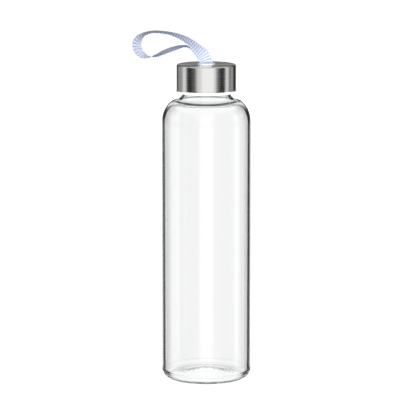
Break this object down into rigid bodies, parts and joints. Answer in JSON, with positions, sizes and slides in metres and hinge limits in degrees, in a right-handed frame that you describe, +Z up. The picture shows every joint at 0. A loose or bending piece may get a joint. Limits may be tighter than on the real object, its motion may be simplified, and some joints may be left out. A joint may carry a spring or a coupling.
{
  "type": "glass water bottle",
  "caption": "Slim clear glass drinking bottle with a brushed steel screw cap over a white plastic core, and a woven ribbon loop on a swivel in the cap.",
  "frame": {"origin": "centre of the ring the bottle stands on", "axes": "+Z up along the bottle's axis; the ribbon loop leans towards -X at rest"},
  "size_m": [0.0859, 0.065, 0.2541],
  "materials": {
    "clear_glass": "clear, fire polished",
    "white_plastic": "satin moulded white",
    "brushed_steel": "brushed round the side, fine circular brushing on top",
    "plain_steel": "plain drawn wire",
    "silicone": "translucent white, matt",
    "ribbon_weave": "ribbed woven ribbon, pale blue lilac"
  },
  "bodies": {
    "bottle": {"glass_bottle": "clear_glass"},
    "seal": {"seal_ring": "silicone"},
    "cap": {"cap_core": "white_plastic", "cap_shell": "brushed_steel"},
    "strap": {"strap_eyelet": "white_plastic", "eyelet_clip": "white_plastic", "strap_pin": "plain_steel", "strap_ribbon": "ribbon_weave"}
  },
  "joints": [
    {"name": "cap_lift", "type": "slide", "parent": "bottle", "child": "seal", "axis": [0, 0, 1], "range_m": [0, 0.01801]},
    {"name": "cap_turn", "type": "hinge", "parent": "seal", "child": "cap", "pos_m": [0, 0, 0.22], "axis": [0, 0, 1], "range_deg": [0, 1620]},
    {"name": "strap_swivel", "type": "hinge", "parent": "cap", "child": "strap", "pos_m": [0, 0, 0.23], "axis": [0, 0, 1], "continuous": true}
  ],
  "couplings": [
    {"joint": "cap_lift", "follows": "cap_turn", "m_per_rad": 0.00063662}
  ]
}
